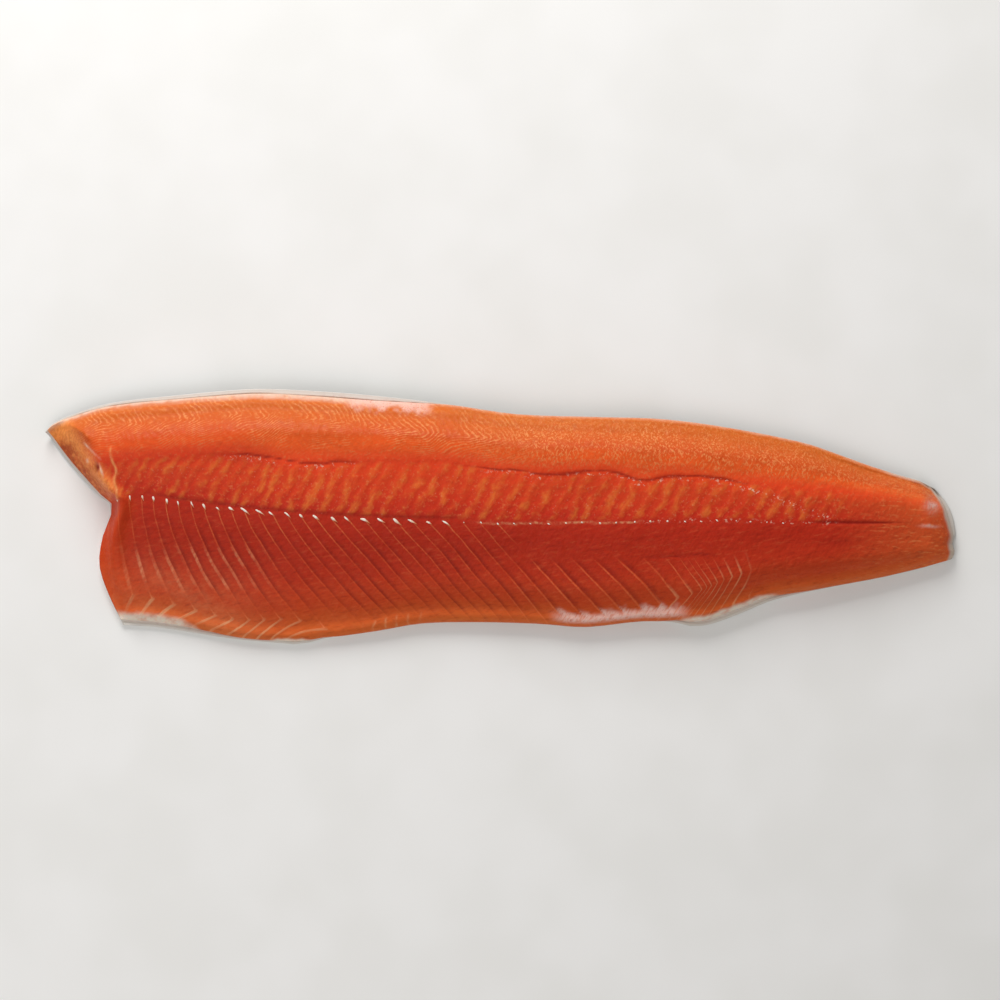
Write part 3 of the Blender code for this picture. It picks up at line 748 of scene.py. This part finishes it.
def buildSkin():
    grid, top, bottom = sheetsOver("skin", skin)
    x, y = grid[..., 0], grid[..., 1]
    bellyEdge, backEdge = np.interp(x, x[:, 0], y[:, 0]), np.interp(x, x[:, -1], y[:, -1])
    inner = smooth(0.3, 2.5, np.minimum(y - bellyEdge, backEdge - y))
    inner = inner * smooth(0.3, 2.5, np.minimum(x - x.min(axis=0), x.max(axis=0) - x))
    share = (y - bellyEdge) / np.maximum(backEdge - bellyEdge, 1)
    points = np.dstack([x, y, top + skin["closer"] * inner])
    under = np.dstack([x, y, np.minimum(bottom, points[..., 2] - 0.02)])
    return closedBody("skinDetail", points, under, {"share": share, "rim": 1 - inner})


def wetCharSkin(piece):
    # char skin with its scales on: satin silver below an olive back with pale spots, creamy inside
    material, tree, shader = newMaterial("wetCharSkin")
    at = storedOn(piece, tree)
    places = addNode(tree, "TexCoord", out="Object")
    fine, broad = grain(tree, places, skin["grains"]["fine"], 3), grain(tree, places, skin["grains"]["broad"])
    scales = addNode(tree, "TexVoronoi", {"Vector": places, "Scale": 1 / (skin["scale"] * mm)}, "Distance")
    spots = addNode(tree, "TexVoronoi", {"Vector": places, "Scale": 1 / (skin["spots"] * mm)}, "Distance")
    share = wavering(tree, at["share"], broad, 0.15)
    outside = addNode(tree, "ValToRGB", (share,), stops=skin["outside"])
    outside = layOver(tree, outside, skin["spot"], (spots, 0.16, 0.24, 0.7, 0), (share, 0.4, 0.6))
    outside = layOver(tree, outside, skin["shine"], (scales, 0.5, 0.1, 0, 0.12))
    inside = layOver(tree, skin["inside"], skin["bloom"], (fine, 0.5, 0.8, 0, 0.4))
    colour = layOver(tree, inside, outside, at["under"])
    colour = layOver(tree, colour, skin["rim"], at["rim"], (at["under"], 0.0, 0.6, 1, 0), 0.85)
    bump = addNode(tree, "Bump", {"Height": scales, "Strength": 0.35, "Distance": skin["bump"] * mm})
    tree.links.new(colour, shader.inputs["Base Color"])
    tree.links.new(shareOf(tree, (fine, 0.3, 0.7, *skin["roughness"])), shader.inputs["Roughness"])
    tree.links.new(bump, shader.inputs["Normal"])
    for name, value in {"IOR": 1.4, "Coat Weight": 0.25, "Coat Roughness": 0.2}.items():
        shader.inputs[name].default_value = value
    return material


ribs = {
    "last": 23, "lastBead": 43,  # numbers of the last seam that ends in a rib, and of the last small bead
    # millimetres
    "length": 3.2, "radius": 0.45, "beadLength": 0.95, "bead": 0.3, "stray": (0.6, 0.25),
    "under": 0.4,  # how far under the spine line each lies
    "lean": 34, "uprightLean": 80, "upright": (-125, -95),  # degrees, and the x between which they lean over
    "sides": 8,
    "profile": [(-0.5, 0.0), (-0.46, 0.5), (-0.36, 0.85), (-0.15, 1.0), (0.05, 0.88), (0.3, 0.55),
                (0.5, 0.28), (0.7, 0.0)],  # girth along a rod
    "seed": 7,
    "colour": "#fdf2e2", "marrow": "#f0b988", "tip": "#e08a58", "roughness": (0.3, 0.45), "grain": 0.7,
}


def surfaceTree(piece):
    bm = bmesh.new()
    bm.from_mesh(piece.data)
    tree = BVHTree.FromBMesh(bm)
    bm.free()
    return tree


def addRod(bm, start, lean, length, girth, rng):
    # one tapered rod, bent a little, that sinks into the flesh at its far end
    along = Vector((math.cos(lean), math.sin(lean), 0))
    side = Vector((-along.y, along.x, 0))
    bend = rng.uniform(-0.25, 0.25)
    turns = [2 * math.pi * k / ribs["sides"] for k in range(ribs["sides"])]
    taper = bm.verts.layers.float["taper"]
    rings = []
    for t, width in ribs["profile"]:
        middle = start + (along * t + side * bend * t * t) * length * mm
        middle.z += (0.02 - 0.35 * max(t, 0)) * mm
        radius = girth * width * mm
        rough = rng.uniform(0.8, 1.2, ribs["sides"])
        ring = [middle] if width == 0 else [
            middle + side * math.cos(a) * radius * r + Vector((0, 0, 0.6 * math.sin(a) * radius * r))
            for a, r in zip(turns, rough)]
        rings.append([bm.verts.new(point) for point in ring])
        for vert in rings[-1]:
            vert[taper] = t + 0.5
    for one, two in zip(rings, rings[1:]):
        for k in range(ribs["sides"]):
            after = k + 1
            corners = [one[k % len(one)], one[after % len(one)], two[after % len(two)], two[k % len(two)]]
            bm.faces.new(list(dict.fromkeys(corners)))  # at a pointed end, two corners are one


def buildRibs(surface):
    # cut ends of the ribs, each a short tapered rod lying almost flush along the spine line
    rng = np.random.default_rng(ribs["seed"])
    xs = np.linspace(*bodyEnds, 4000)  # fine enough to look the seams' places up in
    counts = seamCount(xs)
    strayX, strayY = ribs["stray"]
    bm = bmesh.new()
    bm.verts.layers.float.new("taper")
    for index in range(ribs["lastBead"] + 1):
        x = float(np.interp(index, counts, xs)) + rng.uniform(-strayX, strayX)
        y = float(spineY(x)) - ribs["under"] + rng.uniform(-strayY, strayY)
        upright = float(1 - smooth(*ribs["upright"], np.array(x)))
        lean = -(ribs["lean"] + rng.uniform(-11, 13)) * (1 - upright) - ribs["uprightLean"] * upright
        if index <= ribs["last"]:
            length, girth = ribs["length"] * (1 - 0.35 * upright), ribs["radius"]
        else:  # only small beads show
            length, girth = ribs["beadLength"], ribs["bead"]
        length *= rng.uniform(0.55, 1.4)
        girth *= rng.uniform(0.6, 1.2)
        hit = surface.ray_cast(Vector((x * mm, y * mm, 0.1)), Vector((0, 0, -1)))[0]
        addRod(bm, Vector((x * mm, y * mm, hit.z)), math.radians(lean), length, girth, rng)
    bmesh.ops.recalc_face_normals(bm, faces=bm.faces[:])
    mesh = bpy.data.meshes.new("ribEnds")
    bm.to_mesh(mesh)
    bm.free()
    mesh.shade_smooth()
    piece = bpy.data.objects.new("ribEnds", mesh)
    bpy.context.scene.collection.objects.link(piece)
    return piece


def freshBone(piece):
    # fresh cut fish bone: creamy white, a little see-through and slick, running out into orange tissue
    material, tree, shader = newMaterial("freshFishBone")
    at = storedOn(piece, tree)
    places = addNode(tree, "TexCoord", out="Object")
    fine = grain(tree, places, ribs["grain"])
    colour = layOver(tree, ribs["colour"], ribs["marrow"], (fine, 0.48, 0.7, 0, 0.6))
    colour = layOver(tree, colour, ribs["tip"], (at["taper"], 0.45, 1.0))
    tree.links.new(colour, shader.inputs["Base Color"])
    tree.links.new(shareOf(tree, (fine, 0.3, 0.7, *ribs["roughness"])), shader.inputs["Roughness"])
    for name, value in {"IOR": 1.45, "Subsurface Weight": 0.2, "Subsurface Radius": (1.0, 0.7, 0.5),
                        "Subsurface Scale": 0.8 * mm}.items():
        shader.inputs[name].default_value = value
    return material


studio = {
    "floor": "#f8f6f3", "floorShade": "#f3f1ed", "clouds": 30,  # millimetres across the floor's soft clouds
    "halfFloor": 1.2, "floorRoughness": 0.6,
    "camera": (-0.0004, 0.0065, 1.056), "lens": 100,  # metres, looking straight down, and millimetres
    # each light: watts, metres across, place
    "lights": {"keyLight": (7.8, 0.5, (-0.2, 0.85, 0.46)), "fillLight": (2.6, 0.9, (-0.42, -0.4, 0.75))},
    "world": 0.34,  # strength of the even light from all round
}


def buildFloor():
    # a pale painted board, flat and matt
    mesh = bpy.data.meshes.new("floor")
    half = studio["halfFloor"]
    corners = [(-half, -half, 0), (half, -half, 0), (half, half, 0), (-half, half, 0)]
    mesh.from_pydata(corners, [], [(0, 1, 2, 3)])
    floor = bpy.data.objects.new("floor", mesh)
    bpy.context.scene.collection.objects.link(floor)
    material, tree, shader = newMaterial("paleBoard")
    places = addNode(tree, "TexCoord", out="Object")
    clouds = grain(tree, places, studio["clouds"])
    colour = layOver(tree, studio["floor"], studio["floorShade"], (clouds, 0.3, 0.7))
    tree.links.new(colour, shader.inputs["Base Color"])
    shader.inputs["Roughness"].default_value = studio["floorRoughness"]
    mesh.materials.append(material)
    return floor


def addLight(name, power, size, place):
    light = bpy.data.lights.new(name, "AREA")
    light.energy, light.size = power, size
    holder = bpy.data.objects.new(name, light)
    holder.location = place
    holder.rotation_euler = (-Vector(place)).to_track_quat("-Z", "Y").to_euler()
    bpy.context.scene.collection.objects.link(holder)


def buildStudio():
    for name, (power, size, place) in studio["lights"].items():
        addLight(name, power, size, place)
    world = bpy.data.worlds.new("studioAir")
    world.use_nodes = True
    background = world.node_tree.nodes["Background"]
    background.inputs["Color"].default_value = (1, 1, 1, 1)
    background.inputs["Strength"].default_value = studio["world"]
    bpy.context.scene.world = world
    lens = bpy.data.cameras.new("camera")
    lens.lens, lens.sensor_width = studio["lens"], 36
    lens.clip_start, lens.clip_end = 0.01, 10
    holder = bpy.data.objects.new("camera", lens)
    holder.location = studio["camera"]
    bpy.context.scene.collection.objects.link(holder)
    bpy.context.scene.camera = holder
    bpy.context.scene.view_settings.view_transform = "Standard"


buildStudio()
buildFloor()
print("set: floor, lights and camera")

fleshPiece = buildFlesh()
fleshPiece.data.materials.append(rawMuscle(fleshPiece))
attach(fleshPiece, "root")
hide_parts("flesh")
print("flesh:", len(fleshPiece.data.polygons), "faces")

skinPiece = buildSkin()
skinPiece.data.materials.append(wetCharSkin(skinPiece))
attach(skinPiece, "root")
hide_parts("skin")
print("skin:", len(skinPiece.data.polygons), "faces")

ribPiece = buildRibs(surfaceTree(fleshPiece))
ribPiece.data.materials.append(freshBone(ribPiece))
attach(ribPiece, "root")
print("rib ends:", len(ribPiece.data.polygons), "faces")
